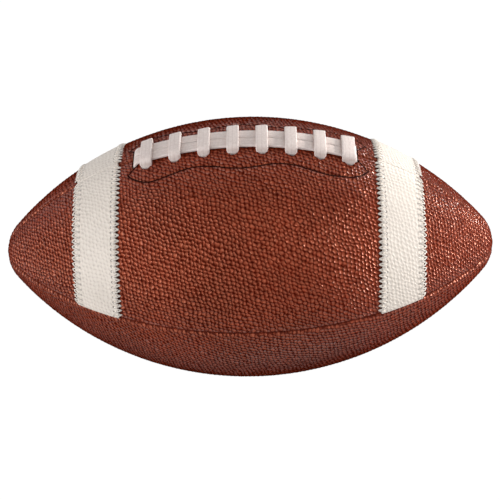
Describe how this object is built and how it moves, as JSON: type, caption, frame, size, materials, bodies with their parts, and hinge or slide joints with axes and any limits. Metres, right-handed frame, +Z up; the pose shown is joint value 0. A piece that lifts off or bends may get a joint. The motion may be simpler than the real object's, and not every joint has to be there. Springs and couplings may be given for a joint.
{
  "type": "american football",
  "caption": "American football of sewn leather panels with a laced top seam, white stripes, cloth lining, air bladder and needle valve.",
  "frame": {"origin": "centre of the ball: the middle of its long axis", "axes": "+X along the ball from tip to tip, +Z up through the lacing, -Y towards the front lace panel that the picture shows"},
  "size_m": [0.282, 0.1508, 0.1556],
  "materials": {
    "brown_leather": "pebbled and slightly glossy",
    "white_leather": "pebbled, painted white",
    "lace": "soft off-white strap",
    "lining_cloth": "coated cotton cloth",
    "stay_leather": "plain split leather",
    "bladder_rubber": "thin moulded rubber",
    "valve_rubber": "moulded rubber",
    "seam_thread": "waxed thread"
  },
  "bodies": {
    "root": {"panel_top_front": "brown_leather", "panel_top_rear": "brown_leather", "panel_bottom_front": "brown_leather", "panel_bottom_rear": "brown_leather", "lining_top_front": "lining_cloth", "lining_top_rear": "lining_cloth", "lining_bottom_front": "lining_cloth", "lining_bottom_rear": "lining_cloth", "stripe_front_left": "white_leather", "stripe_front_right": "white_leather", "stripe_rear_left": "white_leather", "stripe_rear_right": "white_leather", "lace": "lace", "lace_stay_front": "stay_leather", "lace_stay_rear": "stay_leather", "tongue": "stay_leather", "bladder": "bladder_rubber", "valve_housing": "valve_rubber", "valve_plug": "valve_rubber", "thread_top_left": "seam_thread", "thread_top_right": "seam_thread", "thread_front": "seam_thread", "thread_bottom": "seam_thread", "thread_rear": "seam_thread"}
  },
  "joints": []
}
